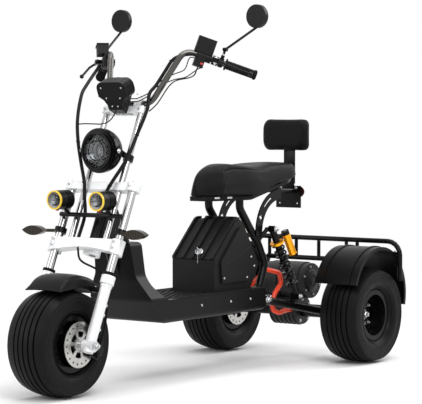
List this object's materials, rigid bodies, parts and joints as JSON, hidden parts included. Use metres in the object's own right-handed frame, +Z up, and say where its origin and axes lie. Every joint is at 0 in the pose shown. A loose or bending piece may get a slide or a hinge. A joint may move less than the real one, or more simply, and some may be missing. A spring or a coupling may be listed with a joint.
{
  "type": "three-wheeled electric scooter",
  "caption": "Electric scooter with a raked single-wheel fork, tall handlebar, battery box under a padded saddle with backrest, and a rear drive axle under fenders and a tube rack.",
  "frame": {"origin": "on the ground under the middle of the scooter", "axes": "+X forward, +Y left, +Z up"},
  "size_m": [2.006, 0.978, 1.5019],
  "materials": {
    "tyre_rubber": "matt",
    "black_rim": "gloss",
    "brake_steel": "ground",
    "silver_cast": "satin",
    "chrome_tube": "polished",
    "black_steel": "gloss",
    "black_plastic": "satin",
    "charcoal_plastic": "fine grain",
    "black_rubber": "matt",
    "seat_cover": "fine grain",
    "yellow_ring": "gloss",
    "gold_metal": "gloss",
    "orange_sleeve": "satin",
    "smoked_lens": "gloss",
    "red_lens": "gloss",
    "clear_glass": "clear",
    "mirror_face": "polished"
  },
  "bodies": {
    "chassis": {"main_frame": "black_steel", "floor_body": "black_plastic", "floor_mat": "black_rubber", "battery_box": "charcoal_plastic", "battery": "charcoal_plastic", "seat_brackets": "black_steel", "seat_pan": "black_plastic", "seat": "seat_cover", "backrest": "seat_cover", "tail_bracket": "black_steel", "tail_lamp": "red_lens", "swingarm": "black_steel", "drive_unit": "black_steel", "rear_calipers": "black_steel", "shock_bodies": "black_steel", "shock_springs": "black_steel", "shock_reservoirs": "gold_metal", "cable_conduits": "orange_sleeve", "rear_rack": "black_steel", "rear_fenders": "black_plastic"},
    "steering": {"steering_stem": "black_steel", "fork_clamps": "silver_cast", "fork_stanchions": "chrome_tube", "fork_lowers": "silver_cast", "fork_seals": "black_rubber", "front_axle": "brake_steel", "front_fender": "black_plastic", "front_caliper": "black_steel", "headlight_bowl": "black_plastic", "headlight_lens": "clear_glass", "lamp_brackets": "black_steel", "spot_lamps": "black_plastic", "spot_rings": "yellow_ring", "turn_signals": "smoked_lens", "handlebar": "chrome_tube", "grips": "black_rubber", "brake_levers": "black_steel", "switchgear": "black_plastic", "mirrors": "black_plastic", "mirror_glass": "mirror_face", "speedometer": "black_plastic", "cables": "black_rubber"},
    "front_wheel": {"front_tyre": "tyre_rubber", "front_rim": "black_rim", "front_disc": "brake_steel"},
    "rear_left_wheel": {"rear_left_tyre": "tyre_rubber", "rear_left_rim": "black_rim", "rear_left_disc": "brake_steel"},
    "rear_right_wheel": {"rear_right_tyre": "tyre_rubber", "rear_right_rim": "black_rim", "rear_right_disc": "brake_steel"},
    "battery_lid": {"battery_lid": "black_plastic"}
  },
  "joints": [
    {"name": "steering", "type": "hinge", "parent": "chassis", "child": "steering", "pos_m": [0.59992, 0, 0.52234], "axis": [-0.4163, 0, 0.9092], "range_deg": [-35, 35]},
    {"name": "front_wheel_spin", "type": "hinge", "parent": "steering", "child": "front_wheel", "pos_m": [0.798, 0, 0.205], "axis": [0, 1, 0], "continuous": true},
    {"name": "rear_left_spin", "type": "hinge", "parent": "chassis", "child": "rear_left_wheel", "pos_m": [-0.767, 0.37, 0.205], "axis": [0, 1, 0], "continuous": true},
    {"name": "rear_right_spin", "type": "hinge", "parent": "chassis", "child": "rear_right_wheel", "pos_m": [-0.767, -0.37, 0.205], "axis": [0, 1, 0], "continuous": true},
    {"name": "battery_lid_hinge", "type": "hinge", "parent": "chassis", "child": "battery_lid", "pos_m": [-0.248, 0, 0.631], "axis": [0, -1, 0], "range_deg": [0, 45]}
  ]
}
